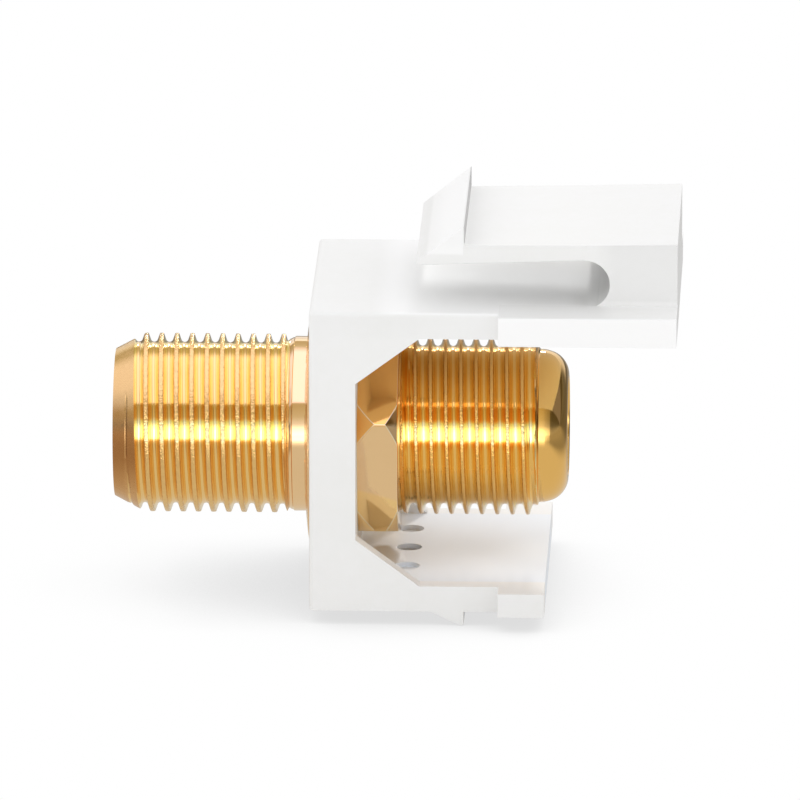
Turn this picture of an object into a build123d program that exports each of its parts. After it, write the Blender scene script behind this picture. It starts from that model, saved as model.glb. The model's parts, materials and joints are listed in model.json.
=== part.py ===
from build123d import *
import os

# A snap-in module for a keystone opening. It carries a double-ended F coupler.
# X runs along the barrel's axis, with the user's side at -X and the cable side at +X. Z is up.
# The origin is the centre of the housing's front face, on the barrel's axis. All sizes are in millimetres.

# Housing
block_width = 14.8
block_height = 16.0
front_wall = 2.4
plate_wall = 1.36
top_length = 19.0
floor_length = 12.2
shoulder_x = 9.8
rail_overhang = 1.36
top_rail_rise = 0.15
floor_rail_inset = 0.1
gusset_wall = 1.0
gusset_length = 3.3
gusset_height = 2.45
edge_round = 0.2
mark_radius = 0.65
mark_depth = 0.25
mark_pitch = 3.5
mark_x = 4.95

# Panel grip: the catch under the floor and the latch's hook stop this far in front of the shoulders.
panel_lip = 1.8
catch_length = 1.7
catch_depth = 0.72
catch_flat = 0.2

# Latch: an arm that folds back over the top plate from a root block at the rear.
root_length = 3.5
slot_height = 2.55
arm_wall = 0.8
arm_top_rise = 0.09
arm_top_fall = 0.07
arm_under_fall = 0.35
arm_width_rear = 12.4
arm_width_front = 11.86
hook_length = 2.5
hook_height = 1.08
nose_height = 0.17
rail_tuck = 0.1

# Barrel: 3/8-32 thread at its crest size, with a hex flange that is 7/16 inch across its flats.
thread_radius = 4.65
front_reach = 10.4
lead_in_length = 0.95
lead_in_radius = 4.3
end_face_radius = 3.9
thread_start = 0.25
neck_radius = 4.49
neck_length = 1.27
neck_chamfer = 0.3
hex_flats = 11.11
hex_thickness = 2.1
hex_turn = -15.3
hex_face_radius = 5.9
hex_chamfer = 0.75
rear_thread_length = 6.8
groove_radius = 4.15
groove_length = 0.45
nose_radius = 4.0
nose_taper = 0.15
nose_taper_length = 0.55
nose_round = 0.95
bore_radius = 3.1
lip_radius = 2.6
lip_wall = 0.5

# Retaining ring, dished, pushed onto the neck against the front wall.
ring_outer_radius = 6.4
ring_wall = 0.16
ring_dish = 0.2

# Insulators and spring contact
insulator_recess = 0.2
end_wall = 1.0
entry_radius = 0.6
entry_funnel = 0.45
chamber_radius = 1.45
contact_wall = 0.22
contact_body_length = 8.0
contact_gap = 0.3
throat_radius = 0.55
throat_setback = 0.9
mouth_radius = 0.95
finger_slot = 0.35
finger_slot_overlap = 0.6

# Clearances between pieces
hole_clearance = 0.1
ring_clearance = 0.03
insulator_clearance = 0.04
contact_clearance = 0.04

# Sizes that follow from those above
half_width = block_width / 2
half_height = block_height / 2
cavity_half_height = half_height - plate_wall
rail_half_width = half_width + rail_overhang
rail_inner = arm_width_rear / 2 - rail_tuck
catch_x = shoulder_x - panel_lip
hole_radius = thread_radius + hole_clearance

slot_end = top_length - root_length
slot_round = slot_height / 2
arm_root_x = slot_end - slot_round
arm_under = half_height + slot_height
arm_top = arm_under + arm_wall
hook_x = catch_x
hook_nose_x = hook_x - hook_length
hook_crest = arm_top - arm_top_fall + hook_height
nose_under = arm_under - arm_under_fall

hex_rear = front_wall + hex_thickness
hex_corner_radius = hex_flats / 3**0.5
rear_thread_end = hex_rear + rear_thread_length
groove_end = rear_thread_end + groove_length
nose_end = groove_end + nose_taper_length + nose_round
nose_tip_radius = nose_radius - nose_taper
bore_front = lip_wall - front_reach
bore_rear = nose_end - lip_wall
insulator_joint = (bore_front + bore_rear) / 2
chamber_front = bore_front + end_wall
chamber_rear = bore_rear - end_wall

os.makedirs("parts", exist_ok=True)


# Hairpin latch in side view, from the root block round the slot's end to the hook. The root stays with the
# housing, and the arm in front of the slot's round end is the piece that moves.
with BuildPart() as hairpin:
    with BuildSketch(Plane.XZ):
        with BuildLine():
            Line((top_length, half_height), (arm_root_x, half_height))
            ThreePointArc(
                (arm_root_x, half_height),
                (slot_end, half_height + slot_round),
                (arm_root_x, arm_under),
            )
            Polyline(
                (arm_root_x, arm_under),
                (hook_nose_x, nose_under),
                (hook_nose_x, nose_under + nose_height),
                (hook_x, hook_crest),
                (hook_x, hook_crest - hook_height),
                (arm_root_x, arm_top),
                (top_length, arm_top + arm_top_rise),
                (top_length, half_height),
            )
        make_face()
    extrude(amount=arm_width_rear, both=True)
    with BuildSketch(Plane.XY.offset(half_height)):
        with BuildLine():
            Polyline(
                (hook_nose_x, -arm_width_front / 2),
                (top_length, -arm_width_rear / 2),
                (top_length, arm_width_rear / 2),
                (hook_nose_x, arm_width_front / 2),
                close=True,
            )
        make_face()
    extrude(amount=hook_crest, mode=Mode.INTERSECT)


with BuildPart() as latch_arm:
    add(hairpin.part)
    split(bisect_by=Plane.YZ.offset(arm_root_x), keep=Keep.BOTTOM)


with BuildPart() as housing:
    # Front wall, top plate and floor with its catch, in side view, pulled across the block's width.
    with BuildSketch(Plane.XZ):
        with BuildLine():
            Polyline(
                (0, -half_height),
                (catch_x - catch_length, -half_height),
                (catch_x - catch_flat, -half_height - catch_depth),
                (catch_x, -half_height - catch_depth),
                (catch_x, -half_height),
                (floor_length, -half_height),
                (floor_length, -cavity_half_height),
                (front_wall, -cavity_half_height),
                (front_wall, cavity_half_height),
                (top_length, cavity_half_height),
                (top_length, half_height),
                (0, half_height),
                close=True,
            )
        make_face()
    extrude(amount=half_width, both=True)
    front_edges = housing.faces().sort_by(Axis.X)[0].edges()
    top_side_edges = housing.faces().sort_by(Axis.Z)[-1].edges().filter_by(Axis.X)
    fillet(front_edges + top_side_edges, radius=edge_round)

    # Corner gussets between the front wall and the two plates, flush with the block's sides.
    for side in (-1, 1):
        with BuildSketch(Plane.XZ.offset(side * (half_width - gusset_wall / 2))):
            for up in (-1, 1):
                with BuildLine():
                    Polyline(
                        (front_wall, up * (cavity_half_height - gusset_height)),
                        (front_wall, up * cavity_half_height),
                        (front_wall + gusset_length, up * cavity_half_height),
                        close=True,
                    )
                make_face()
        extrude(amount=gusset_wall / 2, both=True)

    # Rails behind the panel shoulders. The top pair stands a little above the plate.
    for side in (-1, 1):
        with BuildSketch(Plane.YZ.offset(shoulder_x)):
            with Locations((side * rail_inner, cavity_half_height)):
                Rectangle(
                    rail_half_width - rail_inner,
                    plate_wall + top_rail_rise,
                    align=(Align.MIN if side > 0 else Align.MAX, Align.MIN),
                )
        extrude(amount=top_length - shoulder_x)
    with BuildSketch(Plane.YZ.offset(shoulder_x)):
        with Locations((0, -cavity_half_height)):
            Rectangle(2 * rail_half_width, plate_wall - floor_rail_inset, align=(Align.CENTER, Align.MAX))
    extrude(amount=floor_length - shoulder_x)

    # Hole for the barrel's neck, and three shallow round marks in the floor behind the hex.
    with BuildSketch(Plane.YZ):
        Circle(hole_radius)
    extrude(amount=front_wall, mode=Mode.SUBTRACT)
    with BuildSketch(Plane.XY.offset(-cavity_half_height)):
        with Locations((mark_x, 0)):
            with GridLocations(1, mark_pitch, 1, 3):
                Circle(mark_radius)
    extrude(amount=-mark_depth, mode=Mode.SUBTRACT)

    # Root block of the latch.
    add(split(hairpin.part, bisect_by=Plane.YZ.offset(arm_root_x), keep=Keep.TOP, mode=Mode.PRIVATE))


with BuildPart() as barrel:
    # Hex flange, with its corners turned off towards both faces.
    with BuildSketch(Plane.YZ.offset(front_wall)):
        RegularPolygon(hex_flats / 2, 6, major_radius=False, rotation=hex_turn)
    extrude(amount=hex_thickness)
    with BuildSketch(Plane.XY):
        with BuildLine():
            Polyline(
                (front_wall, 0),
                (front_wall, hex_face_radius),
                (front_wall + hex_chamfer, hex_corner_radius),
                (hex_rear - hex_chamfer, hex_corner_radius),
                (hex_rear, hex_face_radius),
                (hex_rear, 0),
                close=True,
            )
        make_face()
    revolve(axis=Axis.X, mode=Mode.INTERSECT)

    # Threads at their crest size, smooth neck, run-out groove and rolled nose.
    with BuildSketch(Plane.XY):
        with BuildLine():
            Polyline(
                (-front_reach, 0),
                (-front_reach, end_face_radius),
                (lead_in_length - front_reach, lead_in_radius),
                (lead_in_length + thread_start - front_reach, thread_radius),
                (-neck_length - neck_chamfer, thread_radius),
                (-neck_length, neck_radius),
                (hex_rear, neck_radius),
                (hex_rear, thread_radius),
                (rear_thread_end, thread_radius),
                (rear_thread_end, groove_radius),
                (groove_end, groove_radius),
                (groove_end, nose_radius),
                (nose_end - nose_round, nose_tip_radius),
            )
            RadiusArc(
                (nose_end - nose_round, nose_tip_radius),
                (nose_end, nose_tip_radius - nose_round),
                nose_round,
            )
            Polyline(
                (nose_end, nose_tip_radius - nose_round),
                (nose_end, 0),
                (-front_reach, 0),
            )
        make_face()
    revolve(axis=Axis.X)

    # Bore for the insulators, with a lip at each end.
    with BuildSketch(Plane.XY):
        with BuildLine():
            Polyline(
                (-front_reach, 0),
                (-front_reach, lip_radius),
                (bore_front, lip_radius),
                (bore_front, bore_radius),
                (bore_rear, bore_radius),
                (bore_rear, lip_radius),
                (nose_end, lip_radius),
                (nose_end, 0),
                close=True,
            )
        make_face()
    revolve(axis=Axis.X, mode=Mode.SUBTRACT)


with BuildPart() as retaining_ring:
    ring_inner_radius = neck_radius + ring_clearance
    with BuildSketch(Plane.XY):
        with BuildLine():
            Polyline(
                (-ring_dish - ring_wall, ring_inner_radius),
                (-ring_dish, ring_inner_radius),
                (0, ring_outer_radius),
                (-ring_wall, ring_outer_radius),
                close=True,
            )
        make_face()
    revolve(axis=Axis.X)


def insulator(end_x, bore_x, chamber_x):
    """One insulator from its outer end to the joint in the middle, as a part to add."""
    inward = 1 if insulator_joint > end_x else -1
    body_radius = bore_radius - insulator_clearance
    spigot_radius = lip_radius - insulator_clearance
    with BuildPart() as bush:
        with BuildSketch(Plane.XY):
            with BuildLine():
                Polyline(
                    (end_x, entry_radius + entry_funnel),
                    (end_x, spigot_radius),
                    (bore_x, spigot_radius),
                    (bore_x, body_radius),
                    (insulator_joint, body_radius),
                    (insulator_joint, chamber_radius),
                    (chamber_x, chamber_radius),
                    (chamber_x, entry_radius),
                    (end_x + inward * entry_funnel, entry_radius),
                    close=True,
                )
            make_face()
        revolve(axis=Axis.X)
    return bush.part


with BuildPart() as front_insulator:
    add(insulator(insulator_recess - front_reach, bore_front, chamber_front))


with BuildPart() as rear_insulator:
    add(insulator(nose_end - insulator_recess, bore_rear, chamber_rear))


with BuildPart() as centre_contact:
    # Spring tube in section: a straight body, fingers that close to a throat, and a flared mouth at each end.
    contact_radius = chamber_radius - contact_clearance
    contact_front = chamber_front + contact_gap
    contact_rear = chamber_rear - contact_gap
    body_front = insulator_joint - contact_body_length / 2
    body_rear = insulator_joint + contact_body_length / 2
    with BuildSketch(Plane.XY):
        with BuildLine():
            Polyline(
                (contact_front, mouth_radius),
                (contact_front, mouth_radius + contact_wall),
                (contact_front + throat_setback, throat_radius + contact_wall),
                (body_front, contact_radius),
                (body_rear, contact_radius),
                (contact_rear - throat_setback, throat_radius + contact_wall),
                (contact_rear, mouth_radius + contact_wall),
                (contact_rear, mouth_radius),
                (contact_rear - throat_setback, throat_radius),
                (body_rear, contact_radius - contact_wall),
                (body_front, contact_radius - contact_wall),
                (contact_front + throat_setback, throat_radius),
                close=True,
            )
        make_face()
    revolve(axis=Axis.X)
    # Two crossing slots at each end part the tube into four fingers.
    for start, end in (
        (contact_front, body_front + finger_slot_overlap),
        (body_rear - finger_slot_overlap, contact_rear),
    ):
        for turn in (0, 90):
            with BuildSketch(Plane.YZ.offset(start)):
                Rectangle(3 * contact_radius, finger_slot, rotation=turn)
            extrude(amount=end - start, mode=Mode.SUBTRACT)


nodes = {
    "housing": housing,
    "latch_arm": latch_arm,
    "barrel": barrel,
    "retaining_ring": retaining_ring,
    "front_insulator": front_insulator,
    "rear_insulator": rear_insulator,
    "centre_contact": centre_contact,
}
for name, node in nodes.items():
    node.part.label = name
    export_step(node.part, f"parts/{name}.step")
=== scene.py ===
import json
import math

import bmesh
import bpy
from bpy.props import FloatProperty, FloatVectorProperty, IntProperty, PointerProperty
from mathutils import Matrix, Vector


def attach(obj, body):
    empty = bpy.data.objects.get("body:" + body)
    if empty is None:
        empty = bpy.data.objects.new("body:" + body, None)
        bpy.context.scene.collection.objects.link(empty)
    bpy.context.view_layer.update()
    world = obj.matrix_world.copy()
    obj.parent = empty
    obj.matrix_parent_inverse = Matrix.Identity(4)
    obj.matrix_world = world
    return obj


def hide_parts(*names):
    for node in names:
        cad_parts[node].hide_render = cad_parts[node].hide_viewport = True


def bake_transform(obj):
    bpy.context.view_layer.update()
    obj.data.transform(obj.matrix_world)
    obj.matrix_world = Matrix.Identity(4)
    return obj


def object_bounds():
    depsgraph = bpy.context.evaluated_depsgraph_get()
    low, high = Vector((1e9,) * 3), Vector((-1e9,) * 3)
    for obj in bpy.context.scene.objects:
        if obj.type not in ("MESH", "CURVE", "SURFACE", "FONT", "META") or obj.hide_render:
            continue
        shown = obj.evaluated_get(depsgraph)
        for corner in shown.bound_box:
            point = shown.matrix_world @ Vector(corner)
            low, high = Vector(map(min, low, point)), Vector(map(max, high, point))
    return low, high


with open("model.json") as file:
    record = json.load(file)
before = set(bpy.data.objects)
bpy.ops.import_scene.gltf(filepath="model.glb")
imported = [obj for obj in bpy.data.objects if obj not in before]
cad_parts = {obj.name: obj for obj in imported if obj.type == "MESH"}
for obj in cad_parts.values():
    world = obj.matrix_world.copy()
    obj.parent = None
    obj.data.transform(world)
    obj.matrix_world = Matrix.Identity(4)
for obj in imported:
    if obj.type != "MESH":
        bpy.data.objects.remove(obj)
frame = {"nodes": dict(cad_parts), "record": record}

bl_info = {
    "name": "Keystone F Coupler",
    "version": (1, 0, 0),
    "blender": (4, 5, 0),
    "location": "3D View > Sidebar > F Coupler",
    "description": "Builds a snap-in keystone module with a gold-plated, double-ended F coupler",
    "category": "Object",
}

MM = 0.001
CAD_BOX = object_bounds()
WHITE = (1, 1, 1)
BLACK = (0, 0, 0)

# Places and sizes that meshes and materials share. The barrel lies along X
FRONT = -10.34 * MM
LEAD_IN_X = -9.0 * MM
HEX_FRONT = 2.4 * MM
HEX_REAR = 4.5 * MM
HEX_FACE_RADIUS = 5.9 * MM
FRONT_CHAMFER = 0.55  # how much the hex flange widens behind its front face, over its length
FLOOR_MARK_X = 4.95 * MM
HOOK_BACK_X = 8.0 * MM
SLOT_END_X = 14.225 * MM  # the middle of the slot's round end, and where the latch arm starts
SLOT_END_Z = 9.275 * MM

# How near two points count as one, and how near a plane a point counts as on it
SAME_POINT = 1e-6
SAME_TURNED_POINT = 1e-7
ON_PLANE = 1e-8


# Sizes and colours that a user may change


class ThreadSettings(bpy.types.PropertyGroup):
    pitch: FloatProperty(
        name="Pitch",
        description="Distance from one crest to the next, 32 to the inch",
        default=25.4 / 32 * MM,
        precision=6,
        unit="LENGTH",
    )
    crest_radius: FloatProperty(
        name="Crest radius",
        description="Radius over the crests of the 3/8 inch thread",
        default=4.65 * MM,
        precision=6,
        unit="LENGTH",
    )
    crest_flat: FloatProperty(
        name="Crest flat",
        description="Width of the flat on top of a crest",
        default=0.2 * MM,
        precision=6,
        unit="LENGTH",
    )
    rear_crest_flat: FloatProperty(
        name="Rear crest flat",
        description="The same on the rear thread, whose crests are sharper",
        default=0.14 * MM,
        precision=6,
        unit="LENGTH",
    )
    root_width: FloatProperty(
        name="Root width",
        description="Width of the rounded bottom between two crests",
        default=0.36 * MM,
        precision=6,
        unit="LENGTH",
    )
    flank_slope: FloatProperty(
        name="Flank slope",
        description="Angle between a flank and the axis",
        default=math.radians(71),
        subtype="ANGLE",
    )
    steps: IntProperty(
        name="Steps per turn",
        description="How many straight steps make one turn of the thread",
        default=112,
        min=24,
    )


class GoldSettings(bpy.types.PropertyGroup):
    colour: FloatVectorProperty(
        name="Colour",
        description="Colour of the plating on the smooth neck",
        default=(0.95, 0.66, 0.37),
        subtype="COLOR",
    )
    thread_colour: FloatVectorProperty(
        name="Thread colour",
        description="Colour of the plating on the front thread",
        default=(0.95, 0.64, 0.26),
        subtype="COLOR",
    )
    # The rear colour is the gold's own with a painted reflection of the warm housing, which
    # makes it deeper orange
    rear_colour_with_reflection: FloatVectorProperty(
        name="Rear colour",
        description="Colour of the plating on the rear thread, where it is thickest",
        default=(0.98, 0.59, 0.17),
        subtype="COLOR",
    )
    # The flange colour is a painted reflection: darker and warmer, as the shaded housing above
    # mirrors in the upper faces
    flange_reflection_colour: FloatVectorProperty(
        name="Flange colour",
        description="Colour of the thick plating on the hex flange's upper faces",
        default=(0.96, 0.52, 0.15),
        subtype="COLOR",
    )
    # The foot colour is a painted reflection of the lit floor below the flange
    foot_reflection_colour: FloatVectorProperty(
        name="Foot colour",
        description="Brighter colour of the plating low on the hex flange",
        default=(1.0, 0.69, 0.31),
        subtype="COLOR",
    )
    # The nose colour is the gold's own with a painted reflection of the warm housing
    nose_colour: FloatVectorProperty(
        name="Nose colour",
        description="Colour of the plating on the rolled nose",
        default=(0.95, 0.58, 0.18),
        subtype="COLOR",
    )
    # The flank colour is a painted highlight on the flanks between crest and root
    flank_highlight_colour: FloatVectorProperty(
        name="Flank colour",
        description="Paler colour of the polished flanks between crest and root",
        default=(0.98, 0.89, 0.5),
        subtype="COLOR",
    )
    # The edge colour is a painted highlight along the flange's rounded corners
    edge_highlight_colour: FloatVectorProperty(
        name="Edge colour",
        description="Pale colour of the polished corners of the hex flange",
        default=(1.0, 0.93, 0.72),
        subtype="COLOR",
    )
    worn_colour: FloatVectorProperty(
        name="Worn colour",
        description="Colour where the plating is thin, as on the lead-in cone",
        default=(0.72, 0.41, 0.17),
        subtype="COLOR",
    )
    roughness: FloatProperty(
        name="Roughness",
        description="Roughness of the smooth turned faces",
        default=0.06,
        subtype="FACTOR",
    )
    grain: FloatProperty(
        name="Grain",
        description="How rough the plating is on crests and stamped faces",
        default=0.8,
        subtype="FACTOR",
    )


class PlasticSettings(bpy.types.PropertyGroup):
    colour: FloatVectorProperty(
        name="Colour",
        description="Colour of the white moulding",
        default=(0.91, 0.91, 0.905),
        subtype="COLOR",
    )
    insulator_colour: FloatVectorProperty(
        name="Insulator colour",
        description="Colour of the bushes inside the barrel",
        default=(0.82, 0.81, 0.77),
        subtype="COLOR",
    )
    roughness: FloatProperty(
        name="Roughness",
        description="Roughness of the satin moulding",
        default=0.36,
        subtype="FACTOR",
    )
    edge_round: FloatProperty(
        name="Edge round",
        description="Width of the small rounds along the moulding's edges",
        default=0.055 * MM,
        precision=6,
        unit="LENGTH",
    )


class StageSettings(bpy.types.PropertyGroup):
    azimuth: FloatProperty(
        name="Azimuth",
        description="How far the camera stands towards the cable side",
        default=math.radians(1.94),
        subtype="ANGLE",
    )
    elevation: FloatProperty(
        name="Elevation",
        description="How far the camera looks down",
        default=math.radians(15.6),
        subtype="ANGLE",
    )
    distance: FloatProperty(
        name="Distance",
        description="Distance from the camera to the point that it looks at",
        default=0.955,
        unit="LENGTH",
    )
    lens: FloatProperty(
        name="Lens",
        description="Focal length on a 36 mm sensor, in millimetres",
        default=825.3,
        unit="CAMERA",
    )
    fill: FloatProperty(
        name="Fill",
        description="Strength of the even light from all round",
        default=0.97,
        subtype="FACTOR",
    )


class CouplerSettings(bpy.types.PropertyGroup):
    thread: PointerProperty(type=ThreadSettings)
    gold: PointerProperty(type=GoldSettings)
    plastic: PointerProperty(type=PlasticSettings)
    stage: PointerProperty(type=StageSettings)


def settings():
    return bpy.context.scene.f_coupler


# Shader maths


class Wire:
    """The output of a shader node, which can be used in a Python expression."""

    def __init__(self, shader, socket):
        self.shader = shader
        self.socket = socket

    def math(self, operation, *values):
        inputs = dict(enumerate(values))
        return self.shader.node("ShaderNodeMath", {"operation": operation}, inputs)

    def __add__(self, other):
        return self.math("ADD", self, other)

    __radd__ = __add__

    def __mul__(self, other):
        return self.math("MULTIPLY", self, other)

    __rmul__ = __mul__

    def __sub__(self, other):
        return self.math("SUBTRACT", self, other)

    def __rsub__(self, other):
        return self.math("SUBTRACT", other, self)

    def __truediv__(self, other):
        return self.math("DIVIDE", self, other)

    def __pow__(self, other):
        return self.math("POWER", self, other)

    def __neg__(self):
        return self.math("MULTIPLY", self, -1)

    def __abs__(self):
        return self.math("ABSOLUTE", self)


class Shader:
    """A node tree that is built from expressions."""

    def __init__(self, tree):
        self.tree = tree
        tree.nodes.clear()

    def node(self, kind, options=None, inputs=None, output=0):
        """Adds a node, sets its options, then its inputs, and returns one of its outputs."""
        node = self.tree.nodes.new(kind)
        for name, value in (options or {}).items():
            if name == "stops":
                ramp = node.color_ramp.elements
                while len(ramp) < len(value):
                    ramp.new(1)
                for element, (position, colour) in zip(ramp, value):
                    grey = not isinstance(colour, tuple)
                    element.position = position
                    element.color = (colour, colour, colour, 1) if grey else (*colour, 1)
            else:
                setattr(node, name, value)
        for name, value in (inputs or {}).items():
            if isinstance(value, Wire):
                self.tree.links.new(value.socket, node.inputs[name])
            else:
                node.inputs[name].default_value = value
        return Wire(self, node.outputs[output]) if len(node.outputs) else None

    def split(self, vector):
        """The three parts of a vector."""
        parts = self.node("ShaderNodeSeparateXYZ", inputs={"Vector": vector}).socket.node.outputs
        return [Wire(self, parts[axis]) for axis in "XYZ"]

    def coordinates(self):
        """The object coordinates, as a vector and then as its three parts."""
        place = self.node("ShaderNodeTexCoord", output="Object")
        return place, *self.split(place)

    def rays(self):
        """Whether the camera sees the point itself, and whether a glossy surface mirrors it."""
        names = ("Is Camera Ray", "Is Glossy Ray")
        return [self.node("ShaderNodeLightPath", output=name) for name in names]

    def noise(self, size, detail=2.0, roughness=0.5, vector=None, along=None):
        """Noise from 0 to 1 whose features are as large as size."""
        options = {"noise_dimensions": "1D" if along is not None else "3D"}
        inputs = {"Scale": 1 / size, "Detail": detail, "Roughness": roughness}
        if along is not None:
            inputs["W"] = along
        if vector is not None:
            inputs["Vector"] = vector
        return self.node("ShaderNodeTexNoise", options, inputs)

    def fade(self, value, low, high, to_low=0.0, to_high=1.0):
        """Goes smoothly from to_low at low to to_high at high."""
        options = {"interpolation_type": "SMOOTHSTEP"}
        inputs = {0: value, 1: low, 2: high, 3: to_low, 4: to_high}
        return self.node("ShaderNodeMapRange", options, inputs)

    def rise(self, value, low, high, to_low=0.0, to_high=1.0):
        """The same for a length, with low and high in millimetres."""
        return self.fade(value, low * MM, high * MM, to_low, to_high)

    def fall(self, value, low, high, to_low=1.0, to_high=0.0):
        """The opposite of rise."""
        return self.rise(value, low, high, to_low, to_high)

    def disc(self, first, second, low, high):
        """1 within low millimetres of a line and 0 beyond high, from two distances to it."""
        squared = first * first + second * second
        return self.fade(squared, (low * MM) ** 2, (high * MM) ** 2, 1, 0)

    def mix(self, factor, *colours):
        """Mixes two colours, each of them a Wire or red, green and blue."""
        first, second = (item if isinstance(item, Wire) else (*item[:3], 1) for item in colours)
        inputs = {0: factor, 6: first, 7: second}
        return self.node("ShaderNodeMix", {"data_type": "RGBA"}, inputs, output=2)

    def bump(self, height, distance, strength=1.0, below=None):
        inputs = {"Height": height, "Distance": distance, "Strength": strength}
        if below is not None:
            inputs["Normal"] = below
        return self.node("ShaderNodeBump", None, inputs)

    def surface(self, inputs):
        shader = self.node("ShaderNodeBsdfPrincipled", None, inputs)
        self.node("ShaderNodeOutputMaterial", None, {"Surface": shader})


def new_material(name):
    material = bpy.data.materials.new(name)
    material.use_nodes = True
    return material, Shader(material.node_tree)


def gold_colour(s, x, z, radius, threaded, flank):
    """The colour of clean plating, which differs from one zone of the barrel to the next, with
    painted highlights on the flanks and painted reflections on the flange and behind it.
    """
    gold = settings().gold

    # In front of the flange, and on it. The flange's upper faces and chamfer carry a painted
    # reflection of the warm, shaded housing above
    flange = s.rise(x, 2.2, 2.4)
    low_half = s.rise(-z, 3.4, 4.2)
    front = s.mix(threaded + flange * low_half, gold.colour, gold.thread_colour)
    above_chamfer = radius - HEX_FACE_RADIUS - (x - HEX_FRONT) * FRONT_CHAMFER
    chamfer = s.rise(above_chamfer, -0.04, -0.02)
    upper_face = s.rise(z, 1.5, 1.75)
    painted = flange * (upper_face + chamfer * (1 - upper_face))
    front = s.mix(painted, front, gold.flange_reflection_colour)
    # Painted reflection of the floor, brighter low on the flange
    foot = flange * s.rise(-z - x * 0.3, 1.25, 1.5)
    front = s.mix(foot, front, gold.foot_reflection_colour)

    # Behind it, in deeper orange: the gold's own colour with a painted reflection of the warm
    # housing
    rear = s.mix(threaded, gold.nose_colour, gold.rear_colour_with_reflection)
    clean = s.mix(s.rise(x, 4.48, 4.55), front, rear)

    # Painted highlights: the flanks are pale where they face up, and so is a narrow band along
    # the middle
    painted_flank_highlight = s.rise(z, 1.9, 2.2, 0.25, 1.0) * s.fall(x, 2.0, 2.4, 1.0, 0.5)
    painted_flank_highlight = painted_flank_highlight + 0.5 * s.rise(x, 4.0, 4.5) * s.fall(z, -0.4, 0)
    middle = s.rise(z, 0.1, 0.3) * s.fall(z, 1.1, 1.4)
    return s.mix(flank * painted_flank_highlight + threaded * middle * 0.9, clean, gold.flank_highlight_colour)


def gold_material(name, grain):
    """Gold plate over turned brass. With no grain, the mesh says how rough and worn it is."""
    gold = settings().gold
    material, s = new_material(name)
    place, x, y, z = s.coordinates()
    radius = (y * y + z * z) ** 0.5
    rough_spots, threaded, flank, worn, edge = grain, 0, 0, 0, 0
    if grain is None:
        rough_spots, threaded, flank, worn, edge = (
            s.node("ShaderNodeAttribute", {"attribute_name": attribute}, output="Fac")
            for attribute in ("grain", "threaded", "flank", "worn", "edge")
        )

    patches = s.noise(1.6 * MM, 3, vector=place)
    grains = s.noise(0.08 * MM, vector=place)
    pits = s.noise(0.22 * MM, roughness=0.55, vector=place)
    lathe_lines = s.noise(0.06 * MM, roughness=0.6, along=x + radius)

    thin = s.fade(patches * 0.6 + lathe_lines * 0.15, 0.35, 0.8, 0.0, 0.45)
    thin = thin + rough_spots * pits * 0.5
    thin = thin + worn * (0.75 + patches * 0.4) * s.fall(z, 1.2, 2.2, 1, 0.15)
    plated = s.mix(thin, gold_colour(s, x, z, radius, threaded, flank), gold.worn_colour)

    # A fine line turned into the near side of the lead-in
    line_x = -9.63 * MM
    line = s.fall(abs(x - line_x), 0.02, 0.07) * s.rise(z, -1.0, -0.5)
    line = line * s.fall(z, 2.0, 2.6) * s.fall(y, 0, 1)

    turned = s.bump(lathe_lines, 0.002 * MM, 0.6, below=s.bump(1 - line, 0.04 * MM))
    rough = s.bump((grains + pits * 0.7) * rough_spots, 0.035 * MM, gold.grain, below=turned)
    roughness = gold.roughness + patches * 0.04 + lathe_lines * 0.03
    s.surface(
        {
            # Painted highlight along the flange's rounded edges
            "Base Color": s.mix(edge, plated, gold.edge_highlight_colour),
            "Metallic": 1.0,
            "Roughness": roughness + rough_spots * grains * 0.14 + worn * pits * 0.3,
            "Normal": rough,
        }
    )
    return material


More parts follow.
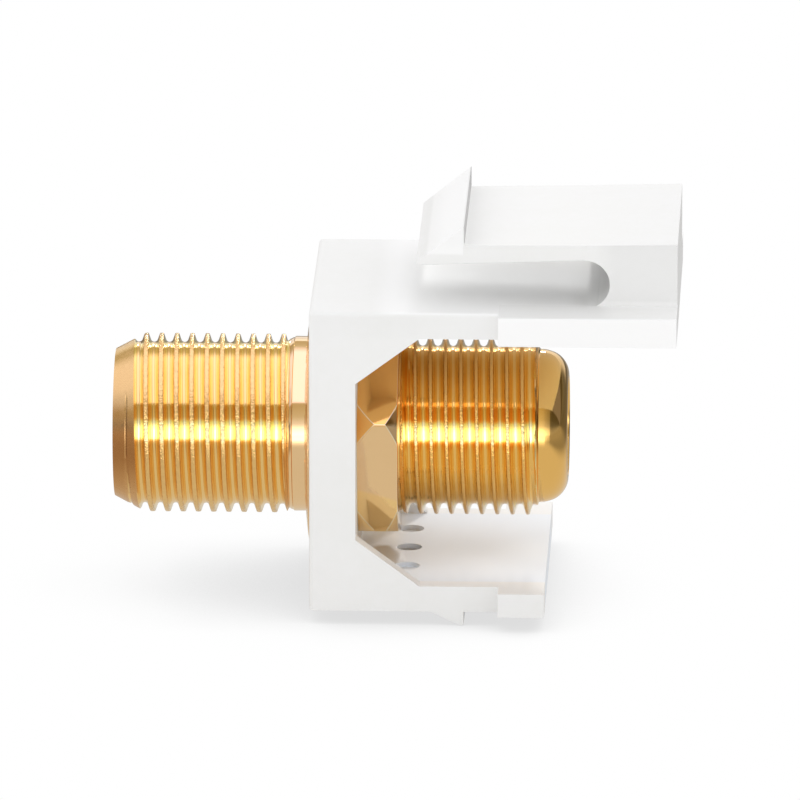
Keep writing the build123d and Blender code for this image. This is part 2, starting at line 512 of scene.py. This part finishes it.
def plastic_material(name, colour):
    """Satin white moulding: faint flow marks, a very fine skin and slightly uneven gloss, with
    painted shade and painted light on some faces.
    """
    plastic = settings().plastic
    material, s = new_material(name)
    place, x, y, z = s.coordinates()

    def tinted(*factors):
        return tuple(part * factor for part, factor in zip(colour, factors))

    flow = s.noise(5.0 * MM, 3, vector=place)
    skin = s.noise(0.07 * MM, vector=place)
    specks = s.noise(0.45 * MM, 3, 0.55, vector=place)
    shade = s.fade(flow * 0.7 + specks * 0.3, 0.3, 0.7)
    moulded = s.mix(shade, tinted(0.975, 0.975, 0.965), colour)

    # Painted shade on the side of the root block, and painted light on the rail's side and the
    # hook's sloped face
    root_side_shade = s.rise(x, 14.5, 16.0) * s.rise(z, 8.3, 8.5) * s.rise(-y, 5.9, 6.1)
    moulded = s.mix(root_side_shade * 0.07, moulded, BLACK)
    rail_side_light = s.rise(x, 9.0, 9.4) * s.rise(z, 6.4, 6.6) * s.rise(-y, 8.5, 8.7)
    hook_face_light = s.fall(x, 7.88, 7.95) * s.rise(z, 10.7, 10.9)
    moulded = s.mix(rail_side_light * 0.9 + hook_face_light * 0.75, moulded, WHITE)
    # Painted light on the slot's floor
    slot_floor_light = s.rise(x, 3.0, 4.5) * s.fall(x, 13.0, 14.5)
    slot_floor_light = slot_floor_light * s.rise(z, 7.9, 7.98) * s.fall(z, 8.02, 8.08)
    moulded = s.mix(slot_floor_light * 0.75, moulded, WHITE)
    # Painted shade on the slot's round end and on the hook's back face
    along, above = x - SLOT_END_X, z - SLOT_END_Z
    slot_end_shade = s.rise(along, 0.1, 1.1) * s.fall(abs(y), 6.04, 6.09)
    slot_end_shade = slot_end_shade * s.disc(along, above, 1.285, 1.31)
    hook_back_shade = s.fall(abs(x - HOOK_BACK_X), 0.02, 0.05) * s.rise(z, 11.36, 11.44)
    moulded = s.mix(slot_end_shade * 0.3 + hook_back_shade * 0.35, moulded, BLACK)

    # The bay behind the wall, painted cooler to cancel the warm light off the gold, and painted
    # shade in the middle floor mark
    bay = s.rise(x, 4.0, 4.8) * s.rise(-z, 2.5, 4.0) * s.fall(abs(y), 6.2, 6.6)
    floor_mark_shade = s.disc(x - FLOOR_MARK_X, y, 0.62, 0.65) * s.rise(-z, 6.5, 7)
    moulded = s.mix(bay, moulded, tinted(0.94, 1.0, 1.085))

    # The top plate in front of the latch and the top of the arm are less glossy
    matt = s.fall(x, 5.4, 5.8) * s.rise(z, 6.5, 6.9) + s.rise(z, 11, 11.5)
    uneven = s.bump(flow, 0.02 * MM, 0.5)
    s.surface(
        {
            "Base Color": s.mix(floor_mark_shade * 0.4, moulded, BLACK),
            "Roughness": plastic.roughness + flow * 0.08 + skin * 0.05 + matt * 0.22,
            "IOR": 1.46,
            "Normal": s.bump(skin, 0.004 * MM, 0.5, below=uneven),
        }
    )
    return material


# Mesh helpers


def outline(bm, points, closed=False):
    """A line of edges in the XZ plane through points of (x, radius)."""
    verts = [bm.verts.new((x, 0, radius)) for x, radius in points]
    pairs = list(zip(verts, verts[1:])) + ([(verts[-1], verts[0])] if closed else [])
    edges = [bm.edges.new(pair) for pair in pairs]
    return verts, edges


def bevel(bm, geom, width, segments, affect="EDGES", **options):
    """Rounds edges, or the corners of a line. Its result names the new faces."""
    return bmesh.ops.bevel(
        bm,
        geom=geom,
        offset=width,
        offset_type="OFFSET",
        affect=affect,
        segments=segments,
        profile=0.5,
        material=-1,
        **options,
    )


def cut_plane(bm, point, normal, clear_outer=False):
    """Cuts bm along a plane and returns what lies in the cut."""
    cut = bmesh.ops.bisect_plane(
        bm,
        geom=bm.verts[:] + bm.edges[:] + bm.faces[:],
        dist=ON_PLANE,
        plane_co=point,
        plane_no=normal,
        clear_outer=clear_outer,
    )
    return cut["geom_cut"]


def turn(points, closed=False, steps=128):
    """A turned shape through points of (x, radius), or (x, radius, radius of its corner)."""
    bm = bmesh.new()
    verts, _ = outline(bm, [point[:2] for point in points], closed)
    for vert, point in zip(verts, points):
        if len(point) == 3:
            bevel(bm, [vert], point[2], segments=10, affect="VERTICES")
    bmesh.ops.spin(
        bm,
        geom=bm.verts[:] + bm.edges[:],
        cent=(0, 0, 0),
        axis=(1, 0, 0),
        angle=math.tau,
        steps=steps,
        use_merge=True,
    )
    bmesh.ops.remove_doubles(bm, verts=bm.verts, dist=SAME_TURNED_POINT)
    return bm


def absorb(bm, other):
    """Moves the mesh of other into bm."""
    mesh = bpy.data.meshes.new("part")
    other.to_mesh(mesh)
    other.free()
    bm.from_mesh(mesh)
    bpy.data.meshes.remove(mesh)


def cad_copy(node):
    """A merged copy of a CAD node, with its flat faces in one piece."""
    bm = bmesh.new()
    bm.from_mesh(frame["nodes"][node].data)
    bmesh.ops.remove_doubles(bm, verts=bm.verts, dist=SAME_POINT)
    bmesh.ops.dissolve_limit(
        bm,
        angle_limit=math.radians(1),
        use_dissolve_boundaries=False,
        verts=bm.verts,
        edges=bm.edges,
    )
    return bm


def edges_over(bm, degrees):
    """The edges between two faces that meet at more than an angle."""
    return [
        edge
        for edge in bm.edges
        if len(edge.link_faces) == 2 and edge.calc_face_angle() > math.radians(degrees)
    ]


def round_edges(bm, width):
    """Rounds the sharp outer edges, except where the latch arm meets the root block."""

    def at_split(vert):
        return abs(vert.co.x - SLOT_END_X) < 0.01 * MM and vert.co.z > SLOT_END_Z

    sharp = [
        edge
        for edge in edges_over(bm, degrees=50)
        if edge.is_convex and not all(at_split(vert) for vert in edge.verts)
    ]
    bevel(bm, sharp, width, segments=3, clamp_overlap=True, loop_slide=True)


def new_object(name, bm, material):
    mesh = bpy.data.meshes.new(name)
    bm.to_mesh(mesh)
    bm.free()
    mesh.materials.append(material)
    item = bpy.data.objects.new(name, mesh)
    bpy.context.scene.collection.objects.link(item)
    return item


def make_piece(name, bm, node, material, sharp=35, recalculate=True, rides=True):
    """Turns bm into a piece that stands for a CAD node.

    Edges over sharp degrees stay sharp. Where rides is true, it moves with the node's body.
    """
    if recalculate:
        bmesh.ops.recalc_face_normals(bm, faces=bm.faces)
    for face in bm.faces:
        face.smooth = True
    for edge in edges_over(bm, sharp):
        edge.smooth = False
    piece = new_object(name, bm, material)
    if rides:
        bodies = frame["record"]["behaviour"]["bodies"]
        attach(piece, next(body for body, nodes in bodies.items() if node in nodes))
    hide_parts(node)
    return piece


def level_normals(piece):
    """Keeps flat faces flat next to their small rounds."""
    modifier = piece.modifiers.new("Level normals", "WEIGHTED_NORMAL")
    modifier.keep_sharp = True
    modifier.weight = 100


# Thread


def thread_outline(thread, crest_flat):
    """One pitch of the thread, from the middle of a crest to the next, as (x, depth)."""
    half_pitch = thread.pitch / 2
    half_crest = crest_flat / 2
    half_root = thread.root_width / 2
    slope = thread.flank_slope
    corner = 0.04 * MM
    corner_drop = corner * 0.3
    root_steps = 4
    arc = half_root / math.sin(slope)
    arc_depth = arc * (1 - math.cos(slope))
    flank_width = half_pitch - half_crest - half_root
    flank_depth = flank_width * math.tan(slope)
    depth = flank_depth + arc_depth
    half = [(0, 0), (half_crest - corner, 0), (half_crest, corner_drop)]
    half.append((half_crest + corner / 2, corner / 2 * math.tan(slope) + corner_drop))
    for share in (0.5, 1.0):
        half.append((half_crest + flank_width * share, flank_depth * share))
    for step in range(1, root_steps + 1):
        angle = slope * (1 - step / root_steps)
        half.append((half_pitch - arc * math.sin(angle), depth - arc * (1 - math.cos(angle))))
    mirrored = [(thread.pitch - x, d) for x, d in reversed(half[:-1])]
    return half + mirrored


def lookup(points, x):
    """The height at x of a line through points, held level past its ends."""
    if x <= points[0][0]:
        return points[0][1]
    for (x0, r0), (x1, r1) in zip(points, points[1:]):
        if x <= x1:
            return r0 + (r1 - r0) * (x - x0) / (x1 - x0)
    return points[-1][1]


def clamp(value, low=0, high=1):
    return min(max(value, low), high)


def wind_thread(crest_flat, crest_x, start, end, ceiling, ground):
    """A right-hand thread between two planes, open at its ends.

    crest_x is where a crest crosses the top of the barrel. No part stands above the line ceiling
    or goes below the line ground, which shape the lead-in and the run-out.
    """
    thread = settings().thread
    spare = 2
    before = math.ceil((crest_x - start) / thread.pitch) + spare
    turns = before + math.ceil((end - crest_x) / thread.pitch) + spare
    first = crest_x - before * thread.pitch
    one_pitch = thread_outline(thread, crest_flat)
    points = [(first + x, thread.crest_radius - depth) for x, depth in one_pitch]
    bm = bmesh.new()
    verts, edges = outline(bm, points)
    bmesh.ops.spin(
        bm,
        geom=verts + edges,
        cent=(0, 0, 0),
        axis=(1, 0, 0),
        dvec=(thread.pitch / thread.steps, 0, 0),
        angle=math.tau,
        steps=thread.steps,
        use_merge=False,
    )
    one_turn = bm.verts[:] + bm.edges[:] + bm.faces[:]
    for turn_number in range(1, turns):
        copy = bmesh.ops.duplicate(bm, geom=one_turn)["geom"]
        copied = [item for item in copy if isinstance(item, bmesh.types.BMVert)]
        bmesh.ops.translate(bm, verts=copied, vec=(turn_number * thread.pitch, 0, 0))
    bmesh.ops.remove_doubles(bm, verts=bm.verts, dist=SAME_POINT)
    for plane, side in ((start, -1), (end, 1)):
        cut_plane(bm, (plane, 0, 0), (side, 0, 0), clear_outer=True)

    # What gold_material reads. Crests are rough, flanks carry a painted highlight, and the
    # lead-in is worn
    names = ("grain", "threaded", "flank", "worn")
    grain, threaded, flank, worn = (bm.verts.layers.float.new(name) for name in names)
    root_grain = 0.05
    cone_grain = 0.06
    deepest = min(radius for x, radius in points)
    for vert in bm.verts:
        x, y, z = vert.co
        radius = math.hypot(y, z)
        top = lookup(ceiling, x)
        kept = max(min(radius, top), lookup(ground, x))
        vert.co = Vector((x, y * kept / radius, z * kept / radius))
        height = (radius - deepest) / (thread.crest_radius - deepest)
        on_cone = x < LEAD_IN_X and kept > top - 0.02 * MM
        vert[threaded] = 1
        vert[worn] = on_cone
        vert[grain] = cone_grain if on_cone else clamp((height - 0.6) * 3, low=root_grain)
        vert[flank] = 0 if on_cone else clamp(min(height - 0.06, 0.9 - height) * 12)
    return bm


def rim(bm, x):
    """The open edges in the plane at x."""
    return [
        edge
        for edge in bm.edges
        if edge.is_boundary and all(abs(vert.co.x - x) < 0.002 * MM for vert in edge.verts)
    ]


def join_rims(bm, first, second):
    bmesh.ops.bridge_loops(bm, edges=rim(bm, first) + rim(bm, second))


# Pieces


def make_flange():
    """The hexagon, with its two faces chamfered to a circle and its edges rounded."""
    across_flats = 11.11 * MM
    corner_radius = across_flats / 2 / math.cos(math.pi / 6)
    turned = math.radians(-15.3)
    rear_chamfer = 0.85
    facets = 144
    edge_width = 0.1 * MM
    bm = bmesh.new()
    bmesh.ops.create_cone(
        bm,
        cap_ends=True,
        segments=6,
        radius1=corner_radius,
        radius2=corner_radius,
        depth=HEX_REAR - HEX_FRONT,
    )
    bmesh.ops.rotate(bm, verts=bm.verts, matrix=Matrix.Rotation(math.pi / 2, 3, "Y"))
    bmesh.ops.rotate(bm, verts=bm.verts, matrix=Matrix.Rotation(turned, 3, "X"))
    bmesh.ops.translate(bm, verts=bm.verts, vec=((HEX_FRONT + HEX_REAR) / 2, 0, 0))
    for face_x, slope in ((HEX_FRONT, -FRONT_CHAMFER), (HEX_REAR, rear_chamfer)):
        for step in range(facets):
            angle = math.tau * step / facets
            outward = Vector((0, math.cos(angle), math.sin(angle)))
            point = Vector((face_x, 0, 0)) + outward * HEX_FACE_RADIUS
            cut = cut_plane(bm, point, outward + Vector((slope, 0, 0)), clear_outer=True)
            opened = [
                item for item in cut if isinstance(item, bmesh.types.BMEdge) and item.is_boundary
            ]
            if opened:
                bmesh.ops.contextual_create(bm, geom=opened)
    sharp = edges_over(bm, degrees=12)
    rounds = set(bevel(bm, sharp, edge_width, segments=2, clamp_overlap=True)["faces"])
    # Marks the rounded edges, where gold_material paints a pale highlight
    edge = bm.verts.layers.float.new("edge")
    for vert in bm.verts:
        vert[edge] = all(face in rounds for face in vert.link_faces)
    return bm


def make_barrel():
    neck_x = -1.27 * MM
    thread_x = HEX_REAR + 0.1 * MM
    groove_x = 11.66 * MM
    nose_x = 11.75 * MM
    rear = 13.25 * MM
    front_rim = 3.84 * MM
    root = 4.1 * MM
    groove = 4.15 * MM
    shoulder = 4.4 * MM
    run_out = 4.5 * MM
    lip_hole = 2.6 * MM
    bore = 3.1 * MM
    front_lip = 0.44 * MM
    rear_lip = 0.5 * MM
    lap = 0.02 * MM  # two open rims lie this far apart before they are joined

    thread = settings().thread
    crest = thread.crest_radius
    bm = wind_thread(
        thread.crest_flat,
        crest_x=-4.77 * MM,
        start=FRONT,
        end=neck_x,
        ceiling=[(FRONT, front_rim), (-8.8 * MM, crest), (-1.4 * MM, crest), (neck_x, shoulder)],
        ground=[
            (FRONT, front_rim),
            (-9.55 * MM, 4.235 * MM),
            (-9.3 * MM, root),
            (-1.5 * MM, 4.2 * MM),
            (neck_x, shoulder),
        ],
    )
    rear_thread = wind_thread(
        thread.rear_crest_flat,
        crest_x=7.63 * MM,
        start=thread_x,
        end=groove_x,
        ceiling=[
            (HEX_REAR, run_out),
            (HEX_REAR + 0.4 * MM, crest),
            (11.56 * MM, crest),
            (groove_x, groove),
        ],
        ground=[
            (thread_x, run_out),
            (HEX_REAR + 0.5 * MM, root),
            (11.4 * MM, root),
            (groove_x, groove),
        ],
    )
    neck = [
        (neck_x + lap, shoulder),
        (-1.12 * MM, 4.47 * MM),
        (-1.04 * MM, 4.49 * MM),
        (-1.0 * MM, 4.54 * MM),
        (-0.9 * MM, 4.55 * MM),
        (thread_x - lap, run_out),
    ]
    nose_and_bore = [
        (groove_x + lap, groove),
        (nose_x - 0.05 * MM, 4.12 * MM),
        (nose_x - 0.03 * MM, 4.05 * MM),
        (nose_x + 0.02 * MM, 3.99 * MM),
        (nose_x + 0.12 * MM, 3.985 * MM),
        (nose_x + 0.27 * MM, 3.975 * MM),
        (nose_x + 0.4 * MM, 3.95 * MM),
        (nose_x + 0.54 * MM, 3.905 * MM),
        (rear, 3.66 * MM, 0.95 * MM),
        (rear, lip_hole, 0.2 * MM),
        (rear - rear_lip, lip_hole),
        (rear - rear_lip, bore),
        (FRONT + front_lip, bore),
        (FRONT + front_lip, lip_hole),
        (FRONT, lip_hole, 0.12 * MM),
        (FRONT, front_rim - lap),
    ]
    for part in (rear_thread, turn(neck), turn(nose_and_bore)):
        absorb(bm, part)
    join_rims(bm, neck_x, neck_x + lap)
    join_rims(bm, thread_x - lap, thread_x)
    join_rims(bm, groove_x, groove_x + lap)
    bmesh.ops.bridge_loops(bm, edges=rim(bm, FRONT))
    absorb(bm, make_flange())
    gold = gold_material("Gold plated barrel", grain=None)
    make_piece("coupler_barrel", bm, "barrel", gold, sharp=28)


def make_ring():
    """Dished push-on ring with gripping teeth round its hole."""
    teeth = 12
    teeth_end = 5.2 * MM
    gap_share = 0.3
    off_the_wall = 0.005 * MM
    dish = [
        (-0.3 * MM, 4.58 * MM),
        (-0.24 * MM, teeth_end),
        (-0.16 * MM, 5.9 * MM),
        (-0.08 * MM, 6.36 * MM),
    ]
    bm = turn(dish, steps=120)
    gaps = []
    for face in bm.faces:
        middle = face.calc_center_median()
        share = math.atan2(middle.z, middle.y) / math.tau * teeth % 1
        if math.hypot(middle.y, middle.z) < teeth_end and share < gap_share:
            gaps.append(face)
    bmesh.ops.delete(bm, geom=gaps, context="FACES")
    bmesh.ops.recalc_face_normals(bm, faces=bm.faces)
    bmesh.ops.solidify(bm, geom=bm.faces[:], thickness=0.13 * MM)
    rearmost = max(vert.co.x for vert in bm.verts)
    bmesh.ops.translate(bm, verts=bm.verts, vec=(-off_the_wall - rearmost, 0, 0))
    gold = gold_material("Gold plated ring", grain=0.9)
    make_piece("push_on_ring", bm, "retaining_ring", gold, sharp=30)


def make_insulator(name, node, outer, inward):
    """Bush with a funnel that leads the cable's wire into the spring contact.

    It reaches from outer to the middle of the barrel. inward is 1 or -1, the way along X.
    """
    middle = 1.425 * MM
    body = 3.06 * MM
    snout = 2.56 * MM
    chamber = 1.45 * MM
    mouth = 1.05 * MM
    entry = 0.6 * MM
    corner = 0.08 * MM
    funnel_end = outer + inward * 0.45 * MM
    snout_end = outer + inward * 0.3 * MM
    chamber_end = outer + inward * 1.3 * MM
    points = [
        (funnel_end, entry),
        (outer, mouth, corner),
        (outer, snout, corner),
        (snout_end, snout),
        (snout_end, body),
        (middle, body),
        (middle, chamber),
        (chamber_end, chamber),
        (chamber_end, entry),
    ]
    bm = turn(points, closed=True)
    colour = tuple(settings().plastic.insulator_colour)
    plastic = plastic_material("Insulator plastic " + name, colour)
    make_piece(name, bm, node, plastic)


def make_housing(plastic):
    bm = cad_copy("housing")
    round_edges(bm, settings().plastic.edge_round)
    piece = make_piece(
        "moulded_housing", bm, "housing", plastic, recalculate=False
    )
    level_normals(piece)


def make_latch(plastic):
    """Latch arm, with cuts across the length that bends, in front of the root block."""
    cuts = 6
    spacing = 0.8 * MM
    bm = cad_copy("latch_arm")
    round_edges(bm, settings().plastic.edge_round)
    for step in range(1, cuts + 1):
        cut_plane(bm, (SLOT_END_X - step * spacing, 0, 0), (1, 0, 0))
    piece = make_piece(
        "moulded_latch",
        bm,
        "latch_arm",
        plastic,
        recalculate=False,
        rides=False,
    )
    level_normals(piece)
    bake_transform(piece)


# Stage


def floor_material():
    """White to the camera, with a contact shadow. The gold mirrors a warmer, uneven floor."""
    material, s = new_material("White floor")
    camera_ray, glossy_ray = s.rays()
    _, x, y, _ = s.coordinates()
    shadow_reach = 0.0085
    contact = s.node(
        "ShaderNodeAmbientOcclusion", {"samples": 8}, {"Distance": shadow_reach}, output="AO"
    )
    shown = s.fade(contact, 0.1, 0.95, 0.72, 1.0)

    # How bright the floor is in the gold: near the object, then far out on the camera's side
    leftwards = s.fade(-x, 0.01, 0.02)
    near = 0.7 - 0.28 * leftwards - 0.4 * s.fade(x, 0.025, 0.04) * (1 - leftwards)
    near = near * s.fade(y, 0.01, 0.03, 1, 0.5)
    reach = (x * x + y * y) ** 0.5
    sideways = abs(x) / (reach + 0.01)
    away = s.fade(reach, 0.03, 0.09) * s.fade(sideways, 0.35, 0.6, 1.0, 0.05)
    away = away * s.fade(y, 0, 0.02, 1, 0)
    far_strength = 1.9
    mirrored = near + away * far_strength

    tone = s.mix(leftwards, (1, 0.97, 0.88), (1, 0.76, 0.55))
    tone = s.mix(glossy_ray * (1 - away), WHITE, tone)
    strength = shown * camera_ray + mirrored * glossy_ray
    lit = s.node("ShaderNodeBsdfDiffuse", None, {"Color": (0.85, 0.85, 0.85, 1)})
    glow = s.node("ShaderNodeEmission", None, {"Color": tone, "Strength": strength})
    seen = s.node("ShaderNodeMixShader", None, {0: camera_ray + glossy_ray, 1: lit, 2: glow})
    s.node("ShaderNodeOutputMaterial", None, {"Surface": seen})
    return material


def make_floor():
    below = 0.02 * MM
    half_width = 0.6
    bm = bmesh.new()
    bmesh.ops.create_grid(bm, x_segments=2, y_segments=2, size=half_width)
    bmesh.ops.translate(bm, verts=bm.verts, vec=(0, 0, CAD_BOX[0][2] - below))
    floor = new_object("floor", bm, floor_material())


def make_world(fill):
    """White to the camera and an even light on the object. The gold mirrors a room."""
    world = bpy.data.worlds.new("Studio")
    bpy.context.scene.world = world
    world.use_nodes = True
    s = Shader(world.node_tree)
    camera_ray, glossy_ray = s.rays()
    dx, dy, dz = s.split(s.node("ShaderNodeTexCoord", output="Generated"))

    # The room goes by the angle round X: 0 degrees is level in front, 90 is overhead
    room_strength = 2.6
    turned = dz.math("ARCTAN2", dz, -dy) / math.tau + 0.5
    degrees = (turned - 0.5) * 360
    pale = (0.57, 0.55, 0.67)
    warm = (0.26, 0.24, 0.18)
    brown = (0.21, 0.175, 0.1)
    room = [
        (-10, warm),
        (-8.5, 0.8),
        (-6, 1.0),
        (2, 1.0),
        (8, 0.75),
        (14, 0.37),
        (24, warm),
        (42.5, brown),
        (43.5, pale),
        (125, pale),
        (140, warm),
        (156, brown),
        (158, 0.5),
        (162, 0.5),
        (164, 0.36),
        (180, 0.36),
    ]
    stops = [(0.5 + angle / 360, colour) for angle, colour in room]
    band = s.node("ShaderNodeValToRGB", {"stops": stops}, {0: turned})
    tone = s.mix(glossy_ray, WHITE, band)

    darker_left = s.fade(degrees, 40, 44, 0, 0.4) * s.fade(degrees, 62, 78, 1, 0.4)
    darker_left = s.fade(degrees, 10, 20, 0.8, 0) + darker_left
    left = 1 - s.fade(-dx, 0.45, 0.7) * darker_left
    right = 1 - s.fade(dx, 0.4, 0.65) * 0.8
    sides = 1 - s.fade(abs(dx), 0.12, 0.4) * 0.2
    strength = room_strength * sides * left * right * glossy_ray + fill * (1 - glossy_ray)
    strength = strength * (1 - camera_ray) + camera_ray
    background = s.node("ShaderNodeBackground", None, {"Color": tone, "Strength": strength})
    s.node("ShaderNodeOutputWorld", None, {"Surface": background})


def make_lamp(name, place, size, power, mirrored):
    """A soft disc of light that shines on the barrel."""
    target = Vector((0.004, 0, 0))
    light = bpy.data.lights.new(name, "AREA")
    light.shape = "DISK"
    light.size = size
    light.energy = power
    lamp = bpy.data.objects.new(name, light)
    bpy.context.scene.collection.objects.link(lamp)
    lamp.location = place
    lamp.visible_glossy = mirrored
    lamp.rotation_euler = (target - Vector(place)).to_track_quat("-Z", "Y").to_euler()


def make_camera(stage):
    aim = Vector((4.45, 0.34, 1.21)) * MM
    level = math.cos(stage.elevation)
    back = Vector(
        (
            math.sin(stage.azimuth) * level,
            -math.cos(stage.azimuth) * level,
            math.sin(stage.elevation),
        )
    )
    lens = bpy.data.cameras.new("Camera")
    lens.sensor_width = 36
    lens.lens = stage.lens
    camera = bpy.data.objects.new("Camera", lens)
    bpy.context.scene.collection.objects.link(camera)
    camera.location = aim + back * stage.distance
    camera.rotation_euler = (-back).to_track_quat("-Z", "Y").to_euler()
    bpy.context.scene.camera = camera


def make_stage():
    stage = settings().stage
    make_floor()
    make_world(stage.fill)
    make_lamp("Back light", (0.02, 0.57, 0.18), size=0.06, power=0.2, mirrored=True)
    make_lamp("Front fill", (-0.14, -0.2, 0.05), size=0.16, power=0.04, mirrored=False)
    make_camera(stage)
    bpy.context.scene.view_settings.view_transform = "Standard"


# Operators


class FCOUPLER_OT_barrel(bpy.types.Operator):
    """Make the threaded barrel with its hex flange"""

    bl_idname = "f_coupler.barrel"
    bl_label = "Make Barrel"

    def execute(self, context):
        make_barrel()
        return {"FINISHED"}


class FCOUPLER_OT_ring(bpy.types.Operator):
    """Make the push-on ring that holds the barrel in the wall"""

    bl_idname = "f_coupler.ring"
    bl_label = "Make Ring"

    def execute(self, context):
        make_ring()
        return {"FINISHED"}


class FCOUPLER_OT_insulators(bpy.types.Operator):
    """Make the two bushes inside the barrel and finish the spring contact"""

    bl_idname = "f_coupler.insulators"
    bl_label = "Make Insulators"

    def execute(self, context):
        front_end = -10.2 * MM
        rear_end = 13.05 * MM
        make_insulator("front_bush", "front_insulator", front_end, 1)
        make_insulator("rear_bush", "rear_insulator", rear_end, -1)
        contact = frame["nodes"]["centre_contact"]
        contact.data.materials.clear()
        contact.data.materials.append(gold_material("Plated spring contact", grain=0.2))
        return {"FINISHED"}


class FCOUPLER_OT_moulding(bpy.types.Operator):
    """Make the white housing and its latch arm"""

    bl_idname = "f_coupler.moulding"
    bl_label = "Make Moulding"

    def execute(self, context):
        plastic = plastic_material("White moulding", tuple(settings().plastic.colour))
        make_housing(plastic)
        make_latch(plastic)
        return {"FINISHED"}


class FCOUPLER_OT_stage(bpy.types.Operator):
    """Set up the floor, the light and the camera"""

    bl_idname = "f_coupler.stage"
    bl_label = "Make Stage"

    def execute(self, context):
        make_stage()
        return {"FINISHED"}


class FCOUPLER_PT_panel(bpy.types.Panel):
    """Lists the pieces and their settings"""

    bl_idname = "FCOUPLER_PT_panel"
    bl_label = "F Coupler"
    bl_space_type = "VIEW_3D"
    bl_region_type = "UI"
    bl_category = "F Coupler"

    def draw(self, context):
        for operator in OPERATORS:
            self.layout.operator(operator.bl_idname)
        for group in ("thread", "gold", "plastic", "stage"):
            box = self.layout.box()
            box.label(text=group.title())
            values = getattr(context.scene.f_coupler, group)
            for name in values.bl_rna.properties.keys():
                if name not in {"rna_type", "name"}:
                    box.prop(values, name)


OPERATORS = (
    FCOUPLER_OT_stage,
    FCOUPLER_OT_moulding,
    FCOUPLER_OT_barrel,
    FCOUPLER_OT_ring,
    FCOUPLER_OT_insulators,
)
GROUPS = (ThreadSettings, GoldSettings, PlasticSettings, StageSettings, CouplerSettings)


def register():
    for item in (*GROUPS, *OPERATORS, FCOUPLER_PT_panel):
        bpy.utils.register_class(item)
    bpy.types.Scene.f_coupler = PointerProperty(type=CouplerSettings)


def unregister():
    del bpy.types.Scene.f_coupler
    for item in reversed((*GROUPS, *OPERATORS, FCOUPLER_PT_panel)):
        bpy.utils.unregister_class(item)


def main():
    register()
    for operator in OPERATORS:
        group, name = operator.bl_idname.split(".")
        getattr(getattr(bpy.ops, group), name)()


if __name__ == "__main__":
    main()
